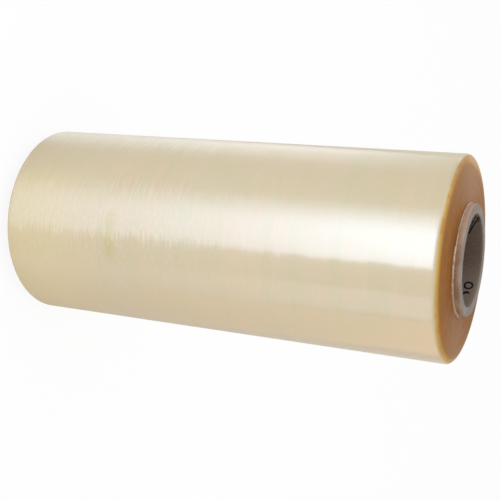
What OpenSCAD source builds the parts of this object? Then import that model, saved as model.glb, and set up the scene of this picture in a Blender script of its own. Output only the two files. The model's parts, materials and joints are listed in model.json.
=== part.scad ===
// Catering roll of cling film: a long web of clear, pale yellow film wound
// tight on a board core that stands out of the winding at both ends.
// The roll stands on its lower core end. Its axis is +Z, and its origin is
// the centre of the circle on which that end stands.

/* [Core] */
// Diameter of the hole through the core, for a spindle or end plugs
core_bore_d = 76; // [60:0.5:90]
// Thickness of the core's board wall
core_wall = 8; // [4:0.5:14]
// How far the core stands out of the winding at each end
core_proud = 6; // [2:0.5:15]
// Bevel on the edges of the core's cut ends
core_bevel = 0.8; // [0.2:0.1:1.5]

/* [Film] */
// Width of the film, and so the length of the winding
film_width = 400; // [200:5:600]
// Length of the film on the roll, in metres
film_length_m = 1500; // [700:50:2000]
// Thickness of the film, in thousandths of a millimetre
film_gauge_um = 11; // [8:0.5:15]

/* [Winding] */
// Drop of the shoulder along the roll, where the outer turns draw in
shoulder_drop = 6; // [2:0.5:8]
// Width of the shoulder across the end face
shoulder_w = 16; // [4:0.5:18]
// Width of each band of turns that lies level on an end face
band_w = 3; // [1.5:0.25:6]
// How far one band of turns can lie below its neighbours
band_wander = 0.5; // [0.1:0.05:1]
// Height of the lip that the first turns leave around the core
lip_h = 0.8; // [0.3:0.1:1.5]
// Width of that lip
lip_w = 0.9; // [0.4:0.1:2]
// Step along the roll where the free end of the film lies on the turn below
tail_step = 0.3; // [0.1:0.05:0.6]

/* [Hidden] */
$fn = 180;

core_r = core_bore_d / 2 + core_wall;
core_len = film_width + 2 * core_proud;
mid_z = core_len / 2;

// The film's section, width by gauge, fills a ring around the core, so the
// length and gauge of the film give the radius of the full winding.
mm_per_m = 1000;
mm_per_um = 0.001;
film_section = film_length_m * mm_per_m * film_gauge_um * mm_per_um;
film_r = sqrt(pow(core_r, 2) + film_section / PI);

shoulder_steps = 9;
shoulder_r0 = film_r - shoulder_w;
bands_r0 = core_r + 2 * lip_w;
bands = floor((shoulder_r0 - bands_r0) / band_w);
// What the whole bands leave over is added to the innermost one.
band_r = [for (k = [0:bands]) k == 0 ? bands_r0 : shoulder_r0 - (bands - k) * band_w];

// Level of band k below the film's edge. The web wanders from side to side as
// it is wound, and steps of 5 in 7 keep neighbouring bands well apart.
wander_cycle = 7;
wander_stride = 5;
function band_drop(k) = band_wander * ((k * wander_stride) % wander_cycle) / (wander_cycle - 1);

// Outline of one end from the core outwards, as [radius, height over the
// winding's middle]: the lip, the bands, and the shoulder of the outer turns.
function end_outline() = concat(
    [[core_r - core_wall / 2, film_width / 2 + lip_h],
     [core_r + lip_w, film_width / 2 + lip_h]],
    [for (k = [0:bands - 1], side = [0, 1]) [band_r[k + side], film_width / 2 - band_drop(k)]],
    [for (i = [0:shoulder_steps])
        let (a = 90 * i / shoulder_steps)
        [shoulder_r0 + shoulder_w * sin(a), film_width / 2 - shoulder_drop * (1 - cos(a))]]
);

function reversed(points) = [for (i = [len(points) - 1:-1:0]) points[i]];

// Half of the winding, turned about its own centre line. Radii are cut down
// by draw_in, which sets how far the half lies inside the full radius.
module winding_half(draw_in) {
    upper = [for (p = end_outline()) [p[0] - draw_in, p[1]]];
    lower = [for (p = reversed(upper)) [p[0], -p[1]]];
    rotate_extrude(angle = 180)
        polygon(concat(upper, lower));
}

// Two half turns whose centres lie half a step apart make a spiral: they meet
// flush at -Y, and at +Y the free end of the film lies a step above the turn
// below it.
module film_winding() {
    color([0.91, 0.86, 0.70])
    difference() {
        translate([0, 0, mid_z])
        rotate([0, 0, -90])
        union() {
            winding_half(0);
            translate([tail_step / 2, 0, 0])
                rotate([0, 0, 180])
                    winding_half(tail_step / 2);
        }
        cylinder(h = core_len, r = core_r);
    }
}

// Wall of the spiral-wound board tube, with both cut ends bevelled.
module board_core() {
    color([0.62, 0.52, 0.43])
    rotate_extrude()
        polygon([
            [core_bore_d / 2 + core_bevel, 0],
            [core_r - core_bevel, 0],
            [core_r, core_bevel],
            [core_r, core_len - core_bevel],
            [core_r - core_bevel, core_len],
            [core_bore_d / 2 + core_bevel, core_len],
            [core_bore_d / 2, core_len - core_bevel],
            [core_bore_d / 2, core_bevel]
        ]);
}

film_winding();
board_core();
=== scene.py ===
"""Dresses a catering roll of cling film, wound on a board core, and stands it in a plain studio."""

import json
import math

import bmesh
import bpy
from bpy.props import FloatProperty, FloatVectorProperty, IntProperty, PointerProperty
from mathutils import Matrix, Vector


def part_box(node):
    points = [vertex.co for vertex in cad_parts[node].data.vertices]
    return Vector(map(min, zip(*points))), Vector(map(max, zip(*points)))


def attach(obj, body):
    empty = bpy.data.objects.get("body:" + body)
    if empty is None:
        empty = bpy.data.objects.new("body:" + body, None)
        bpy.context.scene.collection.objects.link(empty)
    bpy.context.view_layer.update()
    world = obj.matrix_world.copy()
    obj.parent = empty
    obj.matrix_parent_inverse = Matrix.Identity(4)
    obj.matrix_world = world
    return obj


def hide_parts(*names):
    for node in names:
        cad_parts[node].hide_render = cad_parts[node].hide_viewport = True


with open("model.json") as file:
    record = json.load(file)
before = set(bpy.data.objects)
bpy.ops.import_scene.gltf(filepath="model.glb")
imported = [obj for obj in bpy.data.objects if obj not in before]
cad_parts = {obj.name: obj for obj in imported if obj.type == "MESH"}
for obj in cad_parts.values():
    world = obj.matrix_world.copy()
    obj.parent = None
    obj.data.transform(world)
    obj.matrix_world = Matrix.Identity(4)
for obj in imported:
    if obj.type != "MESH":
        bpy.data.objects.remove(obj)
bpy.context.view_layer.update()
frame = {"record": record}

bl_info = {
    "name": "Cling Film Roll",
    "version": (1, 0, 0),
    "blender": (4, 5, 0),
    "location": "3D View > Sidebar > Film Roll",
    "description": "Dresses a roll of cling film and its board core, and sets up the studio around it",
    "category": "Object",
}

BODY = "root"
FILM_LOW, FILM_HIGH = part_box("film_winding")
CORE_LOW, CORE_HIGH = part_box("board_core")
MOUNTS = {mount["name"]: mount for mount in frame["record"]["mounts"]}
MILLIMETRE = 0.001
WELD_DISTANCE = 1e-6


class FilmSettings(bpy.types.PropertyGroup):
    """Sizes and colours of the wound film."""

    radius: FloatProperty(
        name="Radius", description="Radius of the full winding",
        default=FILM_HIGH.y, unit="LENGTH")
    lip_height: FloatProperty(
        name="Lip height", description="How far the first turns stand out of the end face",
        default=0.0008, unit="LENGTH")
    lip_width: FloatProperty(
        name="Lip width", description="Width of the lip around the core",
        default=0.0009, unit="LENGTH")
    shoulder_drop: FloatProperty(
        name="Shoulder drop", description="How far the outer turns draw in along the roll",
        default=0.006, unit="LENGTH")
    shoulder_width: FloatProperty(
        name="Shoulder width", description="Width of the shoulder across the end face",
        default=0.016, unit="LENGTH")
    band_width: FloatProperty(
        name="Band width", description="Width of a band of turns that lies level on an end face",
        default=0.003, unit="LENGTH")
    band_relief: FloatProperty(
        name="Band relief", description="How far one band can lie below its neighbours",
        default=0.00018, unit="LENGTH")
    tail_step: FloatProperty(
        name="Tail step", description="Step at the free end of the film",
        default=0.0003, unit="LENGTH")
    tail_skew: FloatProperty(
        name="Tail skew", description="How far the cut end of the film strays from a straight line",
        default=0.0016, unit="LENGTH")
    ripple: FloatProperty(
        name="Ripple", description="Depth of the slow ripples along the winding",
        default=0.00009, unit="LENGTH")
    turn_rise: FloatProperty(
        name="Turn rise", description="How far the loose first turns stand over the lip",
        default=0.0007, unit="LENGTH")
    turn_gap: FloatProperty(
        name="Turn gap", description="How far the last loose turn strays from the core",
        default=0.0013, unit="LENGTH")
    side_colour: FloatVectorProperty(
        name="Side colour", description="Colour of the film seen across its turns",
        default=(0.40, 0.308, 0.165), size=3, subtype="COLOR", min=0, max=1)
    peach_colour: FloatVectorProperty(
        name="Peach colour", description="Colour of the side's warmer clouds",
        default=(0.425, 0.308, 0.165), size=3, subtype="COLOR", min=0, max=1)
    olive_colour: FloatVectorProperty(
        name="Olive colour", description="Colour of the side's cooler bands",
        default=(0.375, 0.31, 0.145), size=3, subtype="COLOR", min=0, max=1)
    # Painted light: a brighter, yellower colour for the side's lower end, away from -X.
    lower_end_painted_light_colour: FloatVectorProperty(
        name="Lower end painted light colour", description="Colour of the side near the lower end, away from -X",
        default=(0.455, 0.342, 0.157), size=3, subtype="COLOR", min=0, max=1)
    stain_colour: FloatVectorProperty(
        name="Stain colour", description="Colour of the faint yellow ring near the lower end",
        default=(0.36, 0.275, 0.085), size=3, subtype="COLOR", min=0, max=1)


class CoreSettings(bpy.types.PropertyGroup):
    """Sizes and colours of the board core."""

    radius: FloatProperty(
        name="Radius", description="Outer radius of the board tube",
        default=CORE_HIGH.x, unit="LENGTH")
    bore_radius: FloatProperty(
        name="Bore radius", description="Radius of the hole for a spindle",
        default=MOUNTS["core_bore"]["dims"]["r_mm"] * MILLIMETRE, unit="LENGTH")
    bevel: FloatProperty(
        name="Bevel", description="Bevel on the edges of the cut ends",
        default=0.0008, unit="LENGTH")
    ply_count: IntProperty(
        name="Plies", description="Layers of board seen on a cut end", default=15, min=2)
    ply_relief: FloatProperty(
        name="Ply relief", description="Depth of the lines between the plies",
        default=0.00012, unit="LENGTH")
    seam_pitch: FloatProperty(
        name="Seam pitch", description="Rise of the spiral seam in one turn",
        default=0.118, unit="LENGTH")
    seam_depth: FloatProperty(
        name="Seam depth", description="Depth of the spiral seam",
        default=0.00022, unit="LENGTH")
    fibre_count: IntProperty(
        name="Fibres", description="Loose fibres on each cut end", default=420, min=0)
    fibre_length: FloatProperty(
        name="Fibre length", description="Length of the longest loose fibre",
        default=0.0024, unit="LENGTH")
    ink_width: FloatProperty(
        name="Ink width", description="Width of the inked lines on the bore",
        default=0.0018, unit="LENGTH")
    wall_colour: FloatVectorProperty(
        name="Wall colour", description="Colour of the tube's outside",
        default=(0.30, 0.175, 0.10), size=3, subtype="COLOR", min=0, max=1)
    cut_colour: FloatVectorProperty(
        name="Cut colour", description="Colour of the cut ends",
        default=(0.265, 0.22, 0.19), size=3, subtype="COLOR", min=0, max=1)
    bore_colour: FloatVectorProperty(
        name="Bore colour", description="Colour of the bore's grey ply",
        default=(0.20, 0.126, 0.085), size=3, subtype="COLOR", min=0, max=1)


class StageSettings(bpy.types.PropertyGroup):
    """Camera and light of the studio."""

    eye: FloatVectorProperty(
        name="Eye", description="Place of the camera",
        default=(0.01075, -0.759, 0.56132), size=3, subtype="TRANSLATION")
    tilt: FloatProperty(
        name="Tilt", description="How far the camera looks below the horizon",
        default=math.radians(24.595), subtype="ANGLE")
    roll: FloatProperty(
        name="Roll", description="How far the camera is rolled, which lays the picture's roll on its side",
        default=math.radians(96.151), subtype="ANGLE")
    lens: FloatProperty(
        name="Lens", description="Focal length in millimetres, on a sensor 36 mm wide",
        default=67.107)
    sky: FloatProperty(
        name="Sky", description="Strength of the plain light from all round",
        default=0.93, min=0)


class Wire:
    """One output of a node. Python's operators on it add Math nodes."""

    def __init__(self, board, socket):
        self.board = board
        self.socket = socket

    def __add__(self, other):
        return self.board.math("ADD", self, other)

    __radd__ = __add__

    def __mul__(self, other):
        return self.board.math("MULTIPLY", self, other)

    __rmul__ = __mul__

    def __sub__(self, other):
        return self.board.math("SUBTRACT", self, other)

    def __rsub__(self, other):
        return self.board.math("SUBTRACT", other, self)

    def __truediv__(self, other):
        return self.board.math("DIVIDE", self, other)

    def __rtruediv__(self, other):
        return self.board.math("DIVIDE", other, self)

    def __mod__(self, other):
        return self.board.math("FLOORED_MODULO", self, other)

    def __neg__(self):
        return self.board.math("MULTIPLY", self, -1.0)

    def __abs__(self):
        return self.board.math("ABSOLUTE", self)


class Board:
    """Writes a node tree: each call adds a node and gives back one of its outputs."""

    def __init__(self, tree):
        self.tree = tree

    def node(self, kind, sockets, out=0, **settings):
        """Adds a node. Its settings are set first, and then its sockets' values or links."""
        node = self.tree.nodes.new(kind)
        for name, value in settings.items():
            if name == "stops":
                self.set_stops(node.color_ramp, value)
            else:
                setattr(node, name, value)
        for key, value in sockets.items():
            if isinstance(value, Wire):
                self.tree.links.new(value.socket, node.inputs[key])
            else:
                node.inputs[key].default_value = value
        return Wire(self, node.outputs[out])

    def set_stops(self, ramp, stops):
        while len(ramp.elements) < len(stops):
            ramp.elements.new(1.0)
        for element, (place, colour) in zip(ramp.elements, stops):
            element.position = place
            element.color = (*colour, 1.0)

    def math(self, operation, *values):
        return self.node("ShaderNodeMath", dict(enumerate(values)), operation=operation)

    def clip(self, value, low=0.0, high=1.0):
        return self.node("ShaderNodeClamp", {"Value": value, "Min": low, "Max": high})

    def ease(self, value, low, high):
        """Rises smoothly from 0 to 1 as value goes from low to high."""
        return self.node(
            "ShaderNodeMapRange",
            {"Value": value, "From Min": low, "From Max": high, "To Min": 0.0, "To Max": 1.0},
            interpolation_type="SMOOTHSTEP")

    def ridge(self, value, centre, half_width):
        """Is 1 at centre and falls smoothly to 0 at half_width on either side."""
        return 1.0 - self.ease(abs(value - centre), 0.0, half_width)

    def vector(self, x, y, z):
        return self.node("ShaderNodeCombineXYZ", {0: x, 1: y, 2: z})

    def noise(self, point, scale, detail=2.0, roughness=0.5):
        return self.node(
            "ShaderNodeTexNoise",
            {"Vector": point, "Scale": scale, "Detail": detail, "Roughness": roughness})

    def mix(self, share, first, second):
        """Blends two colours. A plain one is given without its alpha."""
        first, second = [
            colour if isinstance(colour, Wire) else (*colour, 1.0) for colour in (first, second)]
        return self.node("ShaderNodeMix", {0: share, 6: first, 7: second}, out=2, data_type="RGBA")

    def dapple(self, base, colour, noise, low, high, strength=1.0):
        """Mixes a colour in where noise lies above low, up to a share of strength where it is at high."""
        return self.mix(self.ease(noise, low, high) * strength, base, colour)

    def level_bump(self, height, **normal):
        """Bends the normal by a height in metres."""
        return self.node(
            "ShaderNodeBump", {"Strength": 1.0, "Distance": 1.0, "Height": height, **normal}, out="Normal")

    def split(self, point):
        node = self.node("ShaderNodeSeparateXYZ", {0: point})
        return [Wire(self, socket) for socket in node.socket.node.outputs]


def new_material(name):
    """Starts an empty material, and gives it, its board and its Object coordinates."""
    material = bpy.data.materials.new(name)
    material.use_nodes = True
    material.node_tree.nodes.clear()
    board = Board(material.node_tree)
    point = board.node("ShaderNodeTexCoord", {}, out="Object")
    return material, board, point


def finish_material(board, shader):
    out = board.tree.nodes.new("ShaderNodeOutputMaterial")
    board.tree.links.new(shader.socket, out.inputs["Surface"])


class Recipe(Board):
    """A Geometry Nodes tree with named inputs, which ends in Realize Instances and Set Material."""

    def __init__(self, name, sizes):
        super().__init__(bpy.data.node_groups.new(name, "GeometryNodeTree"))
        self.values = {}
        self.tree.interface.new_socket("Geometry", in_out="OUTPUT", socket_type="NodeSocketGeometry")
        entry = self.tree.nodes.new("NodeGroupInput")
        for label, value in sizes.items():
            kind = "NodeSocketInt" if isinstance(value, int) else "NodeSocketFloat"
            socket = self.tree.interface.new_socket(label, in_out="INPUT", socket_type=kind)
            self.values[socket.identifier] = value
        self.given = {label: Wire(self, entry.outputs[label]) for label in sizes}

    def close(self, geometry, material):
        real = self.node("GeometryNodeRealizeInstances", {0: geometry})
        dressed = self.node("GeometryNodeSetMaterial", {"Geometry": real, "Material": material})
        leave = self.tree.nodes.new("NodeGroupOutput")
        self.tree.links.new(dressed.socket, leave.inputs[0])
        self.material = material

    def turned_grid(self, columns, rows):
        """A grid of unit cells. Gives its mesh, and each point's column and its row from the middle."""
        grid = self.node(
            "GeometryNodeMeshGrid",
            {"Size X": float(columns), "Size Y": float(2 * rows),
             "Vertices X": columns + 1, "Vertices Y": 2 * rows + 1})
        x, y, _ = self.split(self.node("GeometryNodeInputPosition", {}))
        return grid, x + columns / 2, y

    def wrap(self, grid, angle, radius, height):
        """Lays the grid's points round the Z axis. Angle 0 is at +Y, and it grows towards -X."""
        place = self.vector(-radius * self.math("SINE", angle), radius * self.math("COSINE", angle), height)
        moved = self.node("GeometryNodeSetPosition", {"Geometry": grid, "Position": place})
        joined = self.node("GeometryNodeMergeByDistance", {"Geometry": moved, "Distance": WELD_DISTANCE})
        return self.node("GeometryNodeSetShadeSmooth", {"Geometry": joined, "Shade Smooth": True})

    def join(self, parts):
        joined = self.tree.nodes.new("GeometryNodeJoinGeometry")
        for part in parts:
            self.tree.links.new(part.socket, joined.inputs[0])
        return Wire(self, joined.outputs[0])

    def chance(self, seed, low=0.0, high=1.0):
        """A random number for each point, the same in each run."""
        node = self.tree.nodes.new("FunctionNodeRandomValue")
        node.data_type = "FLOAT"
        node.inputs[2].default_value = low
        node.inputs[3].default_value = high
        node.inputs["Seed"].default_value = seed
        return Wire(self, node.outputs[1])

    def grow(self, name):
        """Runs the tree once on an empty mesh and gives a plain mesh object."""
        piece = bpy.data.objects.new(name, bpy.data.meshes.new(name))
        bpy.context.scene.collection.objects.link(piece)
        modifier = piece.modifiers.new("Shape", "NODES")
        modifier.node_group = self.tree
        for identifier, value in self.values.items():
            modifier[identifier] = value
        seen = piece.evaluated_get(bpy.context.evaluated_depsgraph_get())
        mesh = bpy.data.meshes.new_from_object(seen)
        piece.modifiers.remove(modifier)
        piece.data = mesh
        mesh.name = name
        mesh.materials.clear()
        mesh.materials.append(self.material)
        mesh.polygons.foreach_set("material_index", [0] * len(mesh.polygons))
        return piece


def face_outwards(piece):
    """Turns a closed mesh the right way out."""
    work = bmesh.new()
    work.from_mesh(piece.data)
    bmesh.ops.recalc_face_normals(work, faces=work.faces)
    work.to_mesh(piece.data)
    work.free()


def stretches(board, rows, counts):
    """How far a row has come through each stretch of rows in turn, from 0 to 1."""
    starts = [sum(counts[:index]) for index in range(len(counts))]
    return [board.clip((rows - float(start)) / float(count)) for start, count in zip(starts, counts)]


# Cells of noise in a metre, round the roll and along it. Streaks run round it.
COMB_CELLS = (50.0, 800.0)
THREAD_CELLS = (110.0, 1900.0)
BROAD_CELLS = (7.0, 110.0)
CRINKLE_CELLS = (190.0, 430.0)
# Level direction from the roll's axis to the stretch of its side with the stain and the clear flecks.
FRONT = (0.139, -0.990)
STAIN_HEIGHT = 0.1195
STAIN_HALF_WIDTH = 0.008
# How far below the film's edge the side's finish ends, and the end face's is complete.
SIDE_END = 0.0046
FACE_START = 0.0034
STREAK_COLOUR = (0.48, 0.42, 0.28)
# Colours of an end face, by the share of the full radius.
FACE_STOPS = (
    (0.53, (0.225, 0.076, 0.006)),
    (0.66, (0.240, 0.084, 0.008)),
    (0.85, (0.270, 0.103, 0.017)),
    (0.93, (0.290, 0.120, 0.024)),
    (0.965, (0.530, 0.315, 0.070)),
    (1.0, (0.660, 0.460, 0.145)),
)
PATCH_COLOUR = (0.25, 0.115, 0.04)
FLECK_COLOUR = (0.38, 0.125, 0.012)
AMBER_PAINTED_LIGHT = (0.42, 0.23, 0.12)
RING_COLOUR = (0.38, 0.20, 0.08)
LIP_AND_HIGHLIGHT_COLOUR = (0.40, 0.28, 0.20)


def streaks(board, point, cells):
    """Noise with its own number of cells in a metre round the roll and along it."""
    x, y, z = board.split(point)
    around, along = cells
    return board.noise(board.vector(x * around, y * around, z * along), 1.0, 1.0)


def side_colour(board, film, point, comb, broad, facing):
    """Pearly cream with warmer clouds, cooler bands, fine streaks, painted light that makes the lower end
    brighter and yellower, and a stain.
    """
    x, _, z = board.split(point)
    cloud = board.noise(point, 14.0)
    cream = board.dapple(film.side_colour, film.peach_colour, cloud, 0.35, 0.65)
    cream = board.dapple(cream, film.olive_colour, broad, 0.4, 0.7, 0.5)
    cream = board.dapple(cream, STREAK_COLOUR, comb, 0.45, 0.8, 0.12)
    # Painted light: the side's lower end, away from -X, is made brighter and yellower.
    lower_end_painted_light = (1.0 - board.ease(z, 0.03, 0.13)) * board.ease(x / film.radius, -0.6, -0.3)
    cream = board.mix(lower_end_painted_light * 0.9, cream, film.lower_end_painted_light_colour)
    ragged = z + (comb - 0.5) * 0.006
    stain = board.ridge(ragged, STAIN_HEIGHT, STAIN_HALF_WIDTH) * board.ease(facing, 0.955, 0.995)
    return board.mix(stain * 0.8, cream, film.stain_colour)


def face_colour(board, film, point, radius, ring):
    """Amber that deepens inwards, with patches, flecks, fine rings and painted light towards -X."""
    x, y, _ = board.split(point)
    # The pale outer band reaches further in on one side, towards -X and +Y.
    wider_rim = board.ease((y * 0.6 - x * 0.8) / film.radius, 0.42, 0.75)
    across = radius / film.radius + wider_rim * 0.075
    amber = board.node("ShaderNodeValToRGB", {0: across}, stops=FACE_STOPS)
    patch = board.noise(board.vector(x * 12.0, y * 12.0, 3.0), 1.0, 1.0)
    amber = board.dapple(amber, PATCH_COLOUR, patch, 0.3, 0.7, 0.4)
    amber = board.dapple(amber, FLECK_COLOUR, board.noise(point, 110.0), 0.5, 0.68, 0.4)
    # Painted light: the end face is made lighter towards -X, the side the light comes from.
    amber = board.dapple(amber, AMBER_PAINTED_LIGHT, -x / film.radius, 0.05, 0.95, 0.35)
    return board.dapple(amber, RING_COLOUR, ring, 0.35, 0.75, 0.12)


def leaning_normal(board, tangent, sway):
    """The surface's normal, leaned along the tangent by sway."""
    leaning = board.node("ShaderNodeVectorMath", {0: tangent, "Scale": sway}, operation="SCALE")
    normal = board.node("ShaderNodeNewGeometry", {}, out="Normal")
    normal = board.node("ShaderNodeVectorMath", {0: normal, 1: leaning}, operation="ADD")
    return board.node("ShaderNodeVectorMath", {0: normal}, operation="NORMALIZE")


def film_material(film):
    """Pearly cream across the turns, and amber on the end faces, where the film is seen along its turns."""
    material, board, point = new_material("film")
    x, y, z = board.split(point)
    half = (FILM_HIGH.z - FILM_LOW.z) / 2 - film.lip_height
    radius = board.math("SQRT", x * x + y * y)
    reach = abs(z - (FILM_LOW.z + FILM_HIGH.z) / 2)
    end = board.ease(reach, half - SIDE_END, half - FACE_START)
    comb = streaks(board, point, COMB_CELLS)
    thread = streaks(board, point, THREAD_CELLS)
    broad = streaks(board, point, BROAD_CELLS)
    ring = board.noise(board.vector(radius * 900.0, x * 3.0, y * 3.0), 1.0, 2.0, 0.6)
    facing = (x * FRONT[0] + y * FRONT[1]) / radius

    cream = side_colour(board, film, point, comb, broad, facing)
    amber = face_colour(board, film, point, radius, ring)
    # The lip round the core is paler film, partly a painted highlight on its raised turns.
    amber = board.dapple(
        amber, LIP_AND_HIGHLIGHT_COLOUR, reach, half + film.lip_height * 0.3, half + film.lip_height * 0.8)

    # The film is wound loosest near the lower end, where its streaks are deepest.
    loose = 1.0 - board.ease(z, 0.10, 0.34) * 0.82
    sway = (comb - 0.5) * 0.26 * loose + (thread - 0.5) * 0.20 * loose + (broad - 0.5) * 0.04
    tangent = board.vector(-y / radius, x / radius, 0.0)
    normal = leaning_normal(board, tangent, sway * (1.0 - end))
    bump = board.level_bump(comb * 0.000012 + thread * 0.000006 + ring * end * 0.00003, Normal=normal)
    gloss = 0.312 + (comb - 0.5) * 0.06 * loose - board.ease(z, 0.18, 0.37) * 0.03
    crinkle = streaks(board, point, CRINKLE_CELLS)
    clear = board.ease(crinkle, 0.48, 0.7) * board.ease(facing, 0.9, 0.985) * loose * 0.9
    side_shader = board.node(
        "ShaderNodeBsdfPrincipled",
        {"Base Color": cream, "Roughness": gloss, "IOR": 2.3, "Anisotropic": 1.0,
         "Anisotropic Rotation": 0.25, "Coat Weight": clear, "Coat Roughness": 0.28, "Normal": bump})
    end_shader = board.node(
        "ShaderNodeBsdfPrincipled",
        {"Base Color": amber, "Roughness": 0.5, "IOR": 1.15, "Anisotropic": 0.7,
         "Anisotropic Rotation": 0.25, "Normal": bump})
    finish_material(board, board.node("ShaderNodeMixShader", {0: end, 1: side_shader, 2: end_shader}))
    return material


def film_recipe(film):
    inner = CORE_HIGH.x
    length = FILM_HIGH.z - FILM_LOW.z - 2 * film.lip_height
    recipe = Recipe("Film winding", {
        "Radius": film.radius,
        "Core radius": inner,
        "Half length": length / 2,
        "Shoulder drop": film.shoulder_drop,
        "Shoulder width": film.shoulder_width,
        "Band width": film.band_width,
        "Band relief": film.band_relief,
        "Lip height": film.lip_height,
        "Lip width": film.lip_width,
        "Tail step": film.tail_step,
        "Tail skew": film.tail_skew,
        "Ripple": film.ripple,
    })
    given = recipe.given
    columns = 243
    rows = {"side": 56, "shoulder": 12, "face": 66, "riser": 1, "lip": 2, "bore": 2}
    grid, column, row = recipe.turned_grid(columns, sum(rows.values()))
    sign = recipe.math("SIGN", row)
    side, shoulder, face, riser, lip, bore = stretches(recipe, abs(row), list(rows.values()))

    # The seam's own columns lie close together, so that the film's free end stays crisp.
    seam = 0.0018
    last = columns - 1
    angle = (recipe.clip(column) * seam
             + recipe.clip((column - 1.0) / (last - 2.0)) * (2 * math.pi - 2 * seam)
             + recipe.clip(column - (last - 1.0)) * seam)
    on_wall = recipe.clip(column - float(last))

    turn = shoulder * (math.pi / 2)
    face_width = given["Radius"] - given["Shoulder width"] - given["Core radius"] - given["Lip width"]
    radius = (given["Radius"] - given["Shoulder width"] * (1.0 - recipe.math("COSINE", turn))
              - face_width * face - given["Lip width"] * lip)
    straight = given["Half length"] - given["Shoulder drop"]
    height = (straight * side + given["Shoulder drop"] * recipe.math("SINE", turn)
              + given["Lip height"] * riser - (given["Half length"] + given["Lip height"]) * bore)

    # Level of each band of turns, with the change from one to the next spread over a part of its width.
    bands_out = face * face_width / given["Band width"]
    band = recipe.math("FLOOR", bands_out)
    level = ((band * 5.0) % 7.0) / 6.0
    following = (((band + 1.0) * 5.0) % 7.0) / 6.0
    blend = recipe.ease(bands_out - band, 0.55, 1.0)
    depth = (level + (following - level) * blend) * given["Band relief"]
    on_face = recipe.ease(face, 0.0, 0.04) * (1.0 - recipe.ease(face, 0.97, 1.0))
    height = height - depth * on_face

    fade = 1.0 - face
    gap = (1.0 + recipe.math("COSINE", recipe.math("MINIMUM", angle, math.pi))) / 2.0
    step = given["Tail step"] * recipe.math("MAXIMUM", gap, on_wall) * fade
    unit_x = recipe.math("SINE", angle)
    unit_y = recipe.math("COSINE", angle)
    along = height * sign
    slow = recipe.noise(recipe.vector(unit_x * 1.2, unit_y * 1.2, along * 26.0), 1.0, 2.0, 0.5)
    gauge = recipe.noise(recipe.vector(0.0, 7.0, along * 90.0), 1.0, 2.0, 0.5)
    ripple = given["Ripple"] * (slow * 0.7 + gauge * 0.6) * (1.0 - shoulder)
    stray = recipe.noise(recipe.vector(3.0, 5.0, along * 14.0), 1.0) - 0.5
    skew = given["Tail skew"] * stray / given["Radius"]
    radius = radius - step - ripple

    middle = (FILM_LOW.z + FILM_HIGH.z) / 2
    roll = recipe.wrap(grid, angle + skew, radius, along + middle)
    return recipe, roll


WALL_SHADE = (0.24, 0.13, 0.07)
WALL_BLOTCH = (0.42, 0.26, 0.165)
WALL_PAINTED_LIGHT = (0.56, 0.38, 0.28)
BORE_SHADE = (0.12, 0.10, 0.085)
BORE_BLOTCH = (0.17, 0.125, 0.095)
BORE_PAINTED_LIGHT = (0.30, 0.235, 0.19)
CUT_SHADE = (0.20, 0.165, 0.145)
CUT_BLOTCH = (0.36, 0.325, 0.30)


def board_material(core):
    """Fibrous brown board outside, a grey ply in the bore and thin plies on the cut ends, with painted
    light on the outside towards -X and in the bore towards +X.
    """
    material, board, point = new_material("core_board")
    x, y, z = board.split(point)
    radius = board.math("SQRT", x * x + y * y)
    reach = abs(z - (CORE_LOW.z + CORE_HIGH.z) / 2)
    half = (CORE_HIGH.z - CORE_LOW.z) / 2
    cut = board.ease(reach, half - 0.0009, half - 0.0003)
    inside = 1.0 - board.ease(radius, core.bore_radius + 0.0003, core.bore_radius + 0.0012)
    fibre = board.noise(board.vector(x * 900.0, y * 900.0, z * 300.0), 1.0, 3.0, 0.6)
    blotch = board.noise(point, 60.0, 3.0, 0.6)
    ply = board.noise(board.vector(radius * 1900.0, x * 20.0, y * 20.0), 1.0, 2.0, 0.6)

    # Painted light: the outside is paler towards -X, where light falls, and the bore's ply is lighter and
    # greyer towards +X, lit from -X.
    wall = board.dapple(core.wall_colour, WALL_SHADE, fibre, 0.3, 0.7)
    wall = board.dapple(wall, WALL_BLOTCH, blotch, 0.45, 0.62, 0.7)
    # Painted light on the wall towards -X.
    wall = board.dapple(wall, WALL_PAINTED_LIGHT, -x / radius, -0.3, 1.0, 0.75)
    bore = board.dapple(core.bore_colour, BORE_SHADE, fibre, 0.3, 0.7)
    bore = board.dapple(bore, BORE_BLOTCH, blotch, 0.4, 0.7, 0.4)
    # Painted light in the bore towards +X.
    bore = board.dapple(bore, BORE_PAINTED_LIGHT, x / radius, -0.25, 0.55, 0.5)
    end = board.dapple(core.cut_colour, CUT_SHADE, ply, 0.35, 0.7)
    end = board.dapple(end, CUT_BLOTCH, blotch, 0.45, 0.7, 0.35)
    colour = board.mix(cut, board.mix(inside, wall, bore), end)
    shader = board.node(
        "ShaderNodeBsdfPrincipled",
        {"Base Color": colour, "Roughness": 0.82, "Specular IOR Level": 0.3,
         "Normal": board.level_bump(fibre * 0.00006 + blotch * 0.00008)})
    finish_material(board, shader)
    return material


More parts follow.
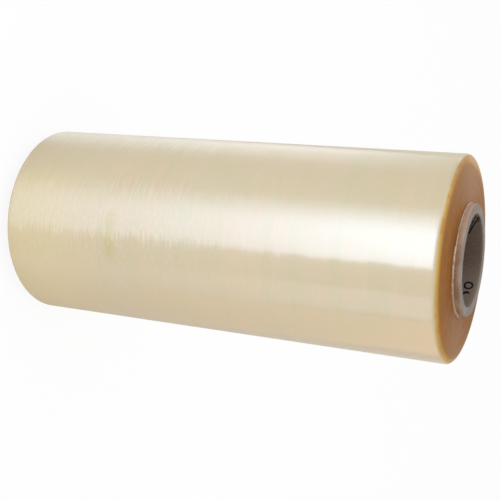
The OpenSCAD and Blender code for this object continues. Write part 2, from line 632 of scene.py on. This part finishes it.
def core_recipe(core):
    length = CORE_HIGH.z - CORE_LOW.z
    recipe = Recipe("Board core", {
        "Radius": core.radius,
        "Bore radius": core.bore_radius,
        "Half length": length / 2,
        "Bevel": core.bevel,
        "Plies": core.ply_count,
        "Ply relief": core.ply_relief,
        "Seam pitch": core.seam_pitch,
        "Seam depth": core.seam_depth,
    })
    given = recipe.given
    columns = 216
    shown_length = 0.010
    rows = {"hidden": 8, "shown": 10, "bevel": 3, "cut": 30, "inner bevel": 3, "bore": 90}
    grid, column, row = recipe.turned_grid(columns, sum(rows.values()))
    sign = recipe.math("SIGN", row)
    hidden, shown, bevel, cut, bevel_in, bore = stretches(recipe, abs(row), list(rows.values()))
    angle = column * (2 * math.pi / columns)
    straight = given["Half length"] - given["Bevel"]
    wall = given["Radius"] - given["Bore radius"] - 2.0 * given["Bevel"]
    radius = given["Radius"] - given["Bevel"] * bevel - wall * cut - given["Bevel"] * bevel_in
    height = ((straight - shown_length) * hidden + shown_length * shown
              + given["Bevel"] * bevel - given["Bevel"] * bevel_in - straight * bore)
    ply = recipe.math("SINE", cut * given["Plies"] * (2 * math.pi))
    unit_x = recipe.math("SINE", angle)
    unit_y = recipe.math("COSINE", angle)
    rough = recipe.noise(recipe.vector(unit_x * 9.0, unit_y * 9.0, cut * 6.0), 1.0, 3.0, 0.6)
    on_cut = recipe.ease(cut, 0.0, 0.05) * (1.0 - recipe.ease(cut, 0.95, 1.0))
    height = height - given["Ply relief"] * (0.5 + 0.5 * ply + rough) * on_cut
    along = height * sign
    phase = (along / given["Seam pitch"] + angle / (2 * math.pi)) % 1.0
    seam = recipe.ridge(phase, 0.5, 0.017) * bevel_in
    radius = radius + given["Seam depth"] * seam * (1.0 - recipe.ridge(bore, 0.0, 0.02))
    middle = (CORE_LOW.z + CORE_HIGH.z) / 2
    tube = recipe.wrap(grid, angle, radius, along + middle)
    return recipe, tube


def first_turns_recipe(film):
    """Loose first turns of the film: a thin wavy sheet that stands round the core at both ends."""
    recipe = Recipe("First turns", {
        "Core radius": CORE_HIGH.x,
        "Face height": FILM_HIGH.z - film.lip_height,
        "Lip height": film.lip_height,
        "Rise": film.turn_rise,
        "Gap": film.turn_gap,
        "Thickness": 0.00016,
    })
    given = recipe.given
    columns, rows = 640, 5
    turns, first_angle = 2.3, 2.6
    clear_of_core, spread, wave_depth, slow_depth = 0.00018, 0.0007, 0.0003, 0.0002
    buried, last_drop = 0.0005, 0.0003
    grid, column, row = recipe.turned_grid(columns, rows)
    course = column / float(columns)
    angle = course * (2 * math.pi * turns) + first_angle
    ends = recipe.ease(course, 0.0, 0.012) * (1.0 - recipe.ease(course, 0.975, 1.0))
    unit_x = recipe.math("SINE", angle)
    unit_y = recipe.math("COSINE", angle)
    wave = recipe.noise(recipe.vector(unit_x * 7.0, unit_y * 7.0, course * 9.0), 1.0, 3.0, 0.6) - 0.5
    slow = recipe.noise(recipe.vector(unit_x * 1.6, unit_y * 1.6, course * 5.0), 1.0) - 0.5
    # The sheet is loosest at +X on its last turn.
    loose = recipe.ease(course, 0.45, 0.62) * recipe.ease(-unit_x, -0.2, 1.0)
    middle = (given["Core radius"] + clear_of_core + course * spread + given["Gap"] * loose
              + wave * wave_depth * ends + slow * slow_depth)
    up = 1.0 - recipe.clip((abs(row) - 1.0) / (rows - 1.0))
    tall = given["Lip height"] + given["Rise"] * (0.55 + wave * 1.5 + slow * 0.8) - course * last_drop
    foot = given["Face height"] - buried
    height = foot + (tall + buried) * up * ends
    side = recipe.clip(row, -1.0, 1.0) * recipe.clip((rows - abs(row)) * 10.0)
    radius = middle + given["Thickness"] / 2.0 * side * ends
    upper = recipe.wrap(grid, angle, radius, height)
    lower = recipe.node(
        "GeometryNodeTransform",
        {"Geometry": upper, "Translation": (0.0, 0.0, FILM_LOW.z + FILM_HIGH.z), "Scale": (1.0, 1.0, -1.0)})
    return recipe, recipe.join([upper, lower])


def first_turns_material():
    """Milky film, its paleness partly a painted highlight, a little darker in its grainy flecks and, as
    painted shade, towards +X, away from the light.
    """
    material, board, point = new_material("first_turns")
    x, _, _ = board.split(point)
    # Painted shade: the film is made darker towards +X, away from the light.
    grain_and_painted_shade = board.noise(point, 500.0) + board.ease(x / CORE_HIGH.x, 0.0, 0.8) * 0.25
    colour = board.dapple((0.68, 0.58, 0.49), (0.46, 0.34, 0.25), grain_and_painted_shade, 0.35, 0.7)
    shader = board.node(
        "ShaderNodeBsdfPrincipled", {"Base Color": colour, "Roughness": 0.3, "IOR": 1.5})
    finish_material(board, shader)
    return material


def fibres_recipe(core):
    """Loose paper fibres that lie on the core's cut ends and stray over their edges."""
    recipe = Recipe("Core fibres", {
        "Count": core.fibre_count,
        "Radius": core.radius,
        "Bore radius": core.bore_radius,
        "Length": core.fibre_length,
        "Height": CORE_HIGH.z - 0.00034,
        "Thickness": 0.00005,
    })
    given = recipe.given
    fibres = []
    for end in (0, 1):
        seed = 40 * end
        angle = recipe.chance(seed + 1, 0.0, 2 * math.pi)
        across = recipe.chance(seed + 2)
        # Most fibres stand near one of the two edges.
        across = recipe.ease(recipe.ease(across, 0.0, 1.0), 0.0, 1.0)
        radius = given["Bore radius"] + 0.0001 + (given["Radius"] - given["Bore radius"] - 0.0002) * across
        place = recipe.vector(
            radius * recipe.math("COSINE", angle), radius * recipe.math("SINE", angle), given["Height"])
        points = recipe.node("GeometryNodePoints", {"Count": given["Count"], "Position": place})
        bow = recipe.node(
            "GeometryNodeCurveQuadraticBezier",
            {"Resolution": 7, "Start": (-0.5, 0.0, 0.0), "Middle": (0.05, 0.34, 0.0),
             "End": (0.5, -0.06, 0.0)})
        turn = recipe.vector(
            recipe.chance(seed + 3, -0.5, 0.5), recipe.chance(seed + 4, -0.04, 0.04),
            recipe.chance(seed + 5, 0.0, 2 * math.pi))
        long = given["Length"] * recipe.chance(seed + 6, 0.25, 1.0)
        size = recipe.vector(long, long * recipe.chance(seed + 7, -1.0, 1.0), long * 0.1)
        placed = recipe.node(
            "GeometryNodeInstanceOnPoints",
            {"Points": points, "Instance": bow, "Rotation": turn, "Scale": size})
        real = recipe.node("GeometryNodeRealizeInstances", {0: placed})
        section = recipe.node(
            "GeometryNodeCurvePrimitiveCircle", {"Resolution": 3, "Radius": given["Thickness"]})
        tube = recipe.node(
            "GeometryNodeCurveToMesh", {"Curve": real, "Profile Curve": section, "Fill Caps": True})
        if end:
            tube = recipe.node(
                "GeometryNodeTransform",
                {"Geometry": tube, "Translation": (0.0, 0.0, CORE_HIGH.z), "Scale": (1.0, 1.0, -1.0)})
        fibres.append(tube)
    return recipe, recipe.join(fibres)


def fibres_material():
    material, board, point = new_material("paper_fibre")
    tone = board.noise(point, 260.0, 1.0, 0.5)
    colour = board.dapple((0.62, 0.56, 0.49), (0.40, 0.32, 0.25), tone, 0.3, 0.7)
    shader = board.node("ShaderNodeBsdfPrincipled", {"Base Color": colour, "Roughness": 0.9})
    finish_material(board, shader)
    return material


# Ovals and arcs on the bore: middle along the bore's arc from +Y towards +X, depth below the
# upper end, half width, half height, start, sweep, and the share of the full line width.
# Lengths are in millimetres and angles in degrees.
INK_OVALS = (
    (22.0, 8.0, 3.1, 3.3, 0, 360, 0.9),
    (30.8, 8.0, 1.5, 1.7, 60, 210, 1.35),
)
# Straight bars: start and end as arc and depth, and the share of the full line width.
INK_BARS = (
    (-24.5, 12.2, -46.5, 1.6, 0.7),
    (-44.0, 2.7, -45.6, 1.9, 1.4),
    (-29.0, 12.0, -34.5, 9.3, 0.5),
    (-36.5, 8.6, -41.5, 6.1, 0.5),
    (-43.5, 5.6, -48.5, 3.2, 0.5),
    (-38.5, 3.6, -42.5, 1.7, 0.45),
    (-47.5, 2.5, -50.0, 1.3, 0.5),
)


def ink_recipe(core):
    """Inked shapes on the bore, drawn flat as arc and depth and then bent onto it."""
    recipe = Recipe("Bore ink", {
        "Bore radius": core.bore_radius,
        "Upper end": CORE_HIGH.z,
        "Width": core.ink_width,
        "Thickness": 0.00006,
    })
    given = recipe.given
    drawn = []
    for arc, depth, half_width, half_height, start, sweep, share_of_width in INK_OVALS:
        closed = sweep == 360
        kind = "GeometryNodeCurvePrimitiveCircle" if closed else "GeometryNodeCurveArc"
        sockets = {"Resolution": 40, "Radius": 1.0}
        if not closed:
            sockets["Start Angle"] = math.radians(start)
            sockets["Sweep Angle"] = math.radians(sweep)
        line = recipe.node(kind, sockets)
        drawn.append((share_of_width, recipe.node("GeometryNodeTransform", {
            "Geometry": line,
            "Translation": (arc * MILLIMETRE, depth * MILLIMETRE, 0.0),
            "Scale": (half_width * MILLIMETRE, half_height * MILLIMETRE, 1.0)})))
    for arc_a, depth_a, arc_b, depth_b, share_of_width in INK_BARS:
        line = recipe.node("GeometryNodeCurvePrimitiveLine", {
            "Start": (arc_a * MILLIMETRE, depth_a * MILLIMETRE, 0.0),
            "End": (arc_b * MILLIMETRE, depth_b * MILLIMETRE, 0.0)})
        bent = recipe.node("GeometryNodeResampleCurve", {"Curve": line, "Count": 24})
        drawn.append((share_of_width, bent))
    parts = []
    for share_of_width, line in drawn:
        section = recipe.node(
            "GeometryNodeCurvePrimitiveQuadrilateral",
            {"Width": given["Width"] * share_of_width, "Height": given["Thickness"]})
        level = recipe.node("GeometryNodeSetCurveNormal", {"Curve": line}, mode="Z_UP")
        parts.append(recipe.node(
            "GeometryNodeCurveToMesh", {"Curve": level, "Profile Curve": section, "Fill Caps": True}))
    flat = recipe.join(parts)
    arc, depth, lift = recipe.split(recipe.node("GeometryNodeInputPosition", {}))
    ragged = recipe.noise(recipe.vector(arc * 900.0, depth * 900.0, 0.0), 1.0, 2.0, 0.6) - 0.5
    shape = recipe.wrap(
        flat, (ragged * 0.0002 - arc) / given["Bore radius"], given["Bore radius"] - lift,
        given["Upper end"] - depth + ragged * 0.0002)
    return recipe, shape


def ink_material():
    material, board, point = new_material("ink")
    wear = board.noise(point, 700.0, 3.0, 0.6)
    colour = board.dapple((0.010, 0.007, 0.007), (0.03, 0.02, 0.018), wear, 0.45, 0.75)
    shader = board.node("ShaderNodeBsdfPrincipled", {"Base Color": colour, "Roughness": 0.7, "IOR": 1.2})
    finish_material(board, shader)
    return material


def settings(context):
    return context.scene.roll_settings


def make_piece(name, slot, recipe, shape, material, *nodes):
    """Grows a recipe's shape into a finished piece, and puts it on the roll's one body."""
    recipe.close(shape, material)
    piece = recipe.grow(name)
    face_outwards(piece)
    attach(piece, BODY)
    if nodes:
        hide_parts(*nodes)


class ROLL_OT_film(bpy.types.Operator):
    """Wind the film: a turned body with banded end faces, soft shoulders and a free end"""

    bl_idname = "cling_roll.film"
    bl_label = "Wind the film"

    def execute(self, context):
        film = settings(context).film
        make_piece("film_roll", "film", *film_recipe(film), film_material(film), "film_winding")
        return {"FINISHED"}


class ROLL_OT_core(bpy.types.Operator):
    """Make the spiral-wound board tube with its cut ends"""

    bl_idname = "cling_roll.core"
    bl_label = "Make the core"

    def execute(self, context):
        core = settings(context).core
        make_piece("core_tube", "core_board", *core_recipe(core), board_material(core), "board_core")
        return {"FINISHED"}


class ROLL_OT_first_turns(bpy.types.Operator):
    """Stand the loose first turns of the film round the core"""

    bl_idname = "cling_roll.first_turns"
    bl_label = "Add the first turns"

    def execute(self, context):
        film = settings(context).film
        make_piece("first_turns", "film", *first_turns_recipe(film), first_turns_material())
        return {"FINISHED"}


class ROLL_OT_fibres(bpy.types.Operator):
    """Scatter loose paper fibres on the core's cut ends"""

    bl_idname = "cling_roll.fibres"
    bl_label = "Scatter the fibres"

    def execute(self, context):
        core = settings(context).core
        make_piece("core_fibres", "core_board", *fibres_recipe(core), fibres_material())
        return {"FINISHED"}


class ROLL_OT_ink(bpy.types.Operator):
    """Ink the shapes on the core's bore"""

    bl_idname = "cling_roll.ink"
    bl_label = "Ink the bore"

    def execute(self, context):
        core = settings(context).core
        make_piece("bore_ink", "core_board", *ink_recipe(core), ink_material())
        return {"FINISHED"}


def shown_rays(board):
    """Is 1 for camera rays."""
    return board.node("ShaderNodeLightPath", {}, out="Is Camera Ray")


def floor_material():
    """White board that the camera sees as white, with a part of its shadow kept."""
    material, board, _ = new_material("floor")
    shown = shown_rays(board)
    paint = board.node("ShaderNodeBsdfDiffuse", {"Color": (0.9, 0.9, 0.9, 1.0)})
    glow = board.node("ShaderNodeEmission", {"Color": (1.0, 1.0, 1.0, 1.0), "Strength": 1.0})
    finish_material(board, board.node("ShaderNodeMixShader", {0: shown * 0.9, 1: paint, 2: glow}))
    return material


def make_world(sky):
    world = bpy.data.worlds.new("studio")
    bpy.context.scene.world = world
    world.use_nodes = True
    world.node_tree.nodes.clear()
    board = Board(world.node_tree)
    strength = sky + (1.0 - sky) * shown_rays(board)
    light = board.node("ShaderNodeBackground", {"Color": (1.0, 1.0, 1.0, 1.0), "Strength": strength})
    out = world.node_tree.nodes.new("ShaderNodeOutputWorld")
    world.node_tree.links.new(light.socket, out.inputs["Surface"])


def outwards(side_angle):
    """Level direction from the roll's axis. Side angle 0 is at -Y, and it grows towards -X."""
    turn = math.radians(side_angle)
    return Vector((-math.sin(turn), -math.cos(turn), 0.0))


def lamp_panel(name, matrix, width, tall, radiance, tint):
    """A flat lamp that the camera doesn't see."""
    lamp = bpy.data.lights.new(name, "AREA")
    lamp.shape = "RECTANGLE"
    lamp.size = width
    lamp.size_y = tall
    lamp.energy = radiance * math.pi * width * tall
    lamp.color = tint
    holder = bpy.data.objects.new(name, lamp)
    bpy.context.scene.collection.objects.link(holder)
    holder.matrix_world = matrix
    holder.visible_camera = False
    return lamp


def shade_lamp(lamp, strength_at):
    """Sets how bright each point of a lamp is, by a function of the lamp's board."""
    lamp.use_nodes = True
    lamp.node_tree.nodes.clear()
    board = Board(lamp.node_tree)
    glow = board.node("ShaderNodeEmission", {"Strength": strength_at(board)})
    out = lamp.node_tree.nodes.new("ShaderNodeOutputLight")
    lamp.node_tree.links.new(glow.socket, out.inputs["Surface"])


def softbox(name, side_angle, distance, height, width, tall, radiance, tint=(1.0, 1.0, 1.0), fade=None):
    """A standing lamp that faces the roll's middle. Its light can fade from one side to the other."""
    place = outwards(side_angle) * distance + Vector((0.0, 0.0, height))
    target = Vector((0.0, 0.0, (CORE_LOW.z + CORE_HIGH.z) / 2))
    matrix = Matrix.Translation(place) @ (target - place).to_track_quat("-Z", "Y").to_matrix().to_4x4()
    lamp = lamp_panel(name, matrix, width, tall, radiance, tint)

    def strength_at(board):
        along, _, _ = board.split(board.node("ShaderNodeNewGeometry", {}, out="Parametric"))
        return board.ease(along, *fade)

    if fade:
        shade_lamp(lamp, strength_at)


def light_table(name, first_turn, last_turn, near, far, width, radiance, tint):
    """A lamp on the floor that shines up. The roll mirrors it between two turns round its side. It
    grows brighter up to the second turn and ends there."""
    above_floor = 0.003
    soft_edge = 0.012
    side_angle = 2 * first_turn
    out = outwards(side_angle)
    across = outwards(side_angle + 90.0)
    offset = -FILM_HIGH.x * math.sin(math.radians(first_turn))
    place = out * (near + far) / 2 + across * (offset + width / 2) + Vector((0.0, 0.0, above_floor))
    axes = Matrix((across, -out, Vector((0.0, 0.0, -1.0)))).transposed()
    matrix = Matrix.Translation(place) @ axes.to_4x4()
    lamp = lamp_panel(name, matrix, width, far - near, radiance, tint)
    last_across = outwards(2 * last_turn + 90.0)
    last_offset = -FILM_HIGH.x * math.sin(math.radians(last_turn))

    def strength_at(board):
        x, y, _ = board.split(board.node("ShaderNodeNewGeometry", {}, out="Position"))
        further = board.ease(x * out.x + y * out.y, 0.1, 0.5)
        past_first = x * across.x + y * across.y - offset
        past_last = x * last_across.x + y * last_across.y - last_offset
        course = board.clip(past_first / (past_first - past_last))
        growing = 0.52 + 0.3 * course + 0.85 * course * course
        return (1.0 - board.ease(past_last, -soft_edge, soft_edge)) * growing * (0.8 + 0.24 * further)

    shade_lamp(lamp, strength_at)


class ROLL_OT_stage(bpy.types.Operator):
    """Set up the floor, the light and the camera"""

    bl_idname = "cling_roll.stage"
    bl_label = "Set up the studio"

    def execute(self, context):
        stage = settings(context).stage
        scene = context.scene
        reach = 6.0
        corners = [(-reach, -reach, 0.0), (reach, -reach, 0.0), (reach, reach, 0.0), (-reach, reach, 0.0)]
        sheet = bpy.data.meshes.new("floor")
        sheet.from_pydata(corners, [], [(0, 1, 2, 3)])
        sheet.materials.append(floor_material())
        floor = bpy.data.objects.new("floor", sheet)
        scene.collection.objects.link(floor)
        make_world(stage.sky)

        softbox(
            "key_light", side_angle=24.0, distance=1.15, height=0.16, width=1.75, tall=0.36,
            radiance=10.2, tint=(0.68, 0.825, 1.08), fade=(0.15, 0.60))
        softbox(
            "fill_light", side_angle=-99.0, distance=1.15, height=0.3, width=1.15, tall=0.7,
            radiance=0.82, tint=(1.0, 0.62, 0.28))
        softbox(
            "second_light", side_angle=-56.0, distance=1.15, height=0.16, width=0.54, tall=0.36,
            radiance=1.42, tint=(0.68, 0.82, 1.0))
        softbox(
            "rim_light", side_angle=129.5, distance=1.15, height=0.6, width=0.32, tall=0.35,
            radiance=0.8)
        light_table(
            "rim_table", first_turn=54.0, last_turn=73.0, near=0.05, far=1.1, width=0.75,
            radiance=1.25, tint=(0.85, 0.95, 1.06))
        softbox(
            "top_light", side_angle=72.0, distance=0.9, height=1.2, width=1.0, tall=0.6,
            radiance=0.75, tint=(0.85, 0.94, 1.0))

        camera = bpy.data.objects.new("camera", bpy.data.cameras.new("camera"))
        scene.collection.objects.link(camera)
        camera.data.lens = stage.lens
        camera.data.sensor_width = 36.0
        camera.data.clip_start = 0.01
        camera.matrix_world = (
            Matrix.Translation(stage.eye)
            @ Matrix.Rotation(math.pi / 2 - stage.tilt, 4, "X")
            @ Matrix.Rotation(stage.roll, 4, "Z"))
        scene.camera = camera
        scene.view_settings.view_transform = "Standard"
        return {"FINISHED"}


class RollSettings(bpy.types.PropertyGroup):
    """All settings of the roll and its studio."""

    film: PointerProperty(type=FilmSettings)
    core: PointerProperty(type=CoreSettings)
    stage: PointerProperty(type=StageSettings)


OPERATORS = (
    ROLL_OT_stage, ROLL_OT_film, ROLL_OT_first_turns, ROLL_OT_core, ROLL_OT_fibres, ROLL_OT_ink)


class ROLL_PT_panel(bpy.types.Panel):
    """The roll's operators and settings in the sidebar."""

    bl_idname = "ROLL_PT_panel"
    bl_label = "Film Roll"
    bl_space_type = "VIEW_3D"
    bl_region_type = "UI"
    bl_category = "Film Roll"

    def draw(self, context):
        for operator in OPERATORS:
            self.layout.operator(operator.bl_idname)
        for group in (settings(context).film, settings(context).core, settings(context).stage):
            box = self.layout.box()
            for name in group.__annotations__:
                box.prop(group, name)


CLASSES = (FilmSettings, CoreSettings, StageSettings, RollSettings, *OPERATORS, ROLL_PT_panel)


def register():
    for item in CLASSES:
        bpy.utils.register_class(item)
    bpy.types.Scene.roll_settings = PointerProperty(type=RollSettings)


def unregister():
    del bpy.types.Scene.roll_settings
    for item in reversed(CLASSES):
        bpy.utils.unregister_class(item)


def main():
    register()
    for operator in OPERATORS:
        group, name = operator.bl_idname.split(".")
        getattr(getattr(bpy.ops, group), name)()


if __name__ == "__main__":
    main()
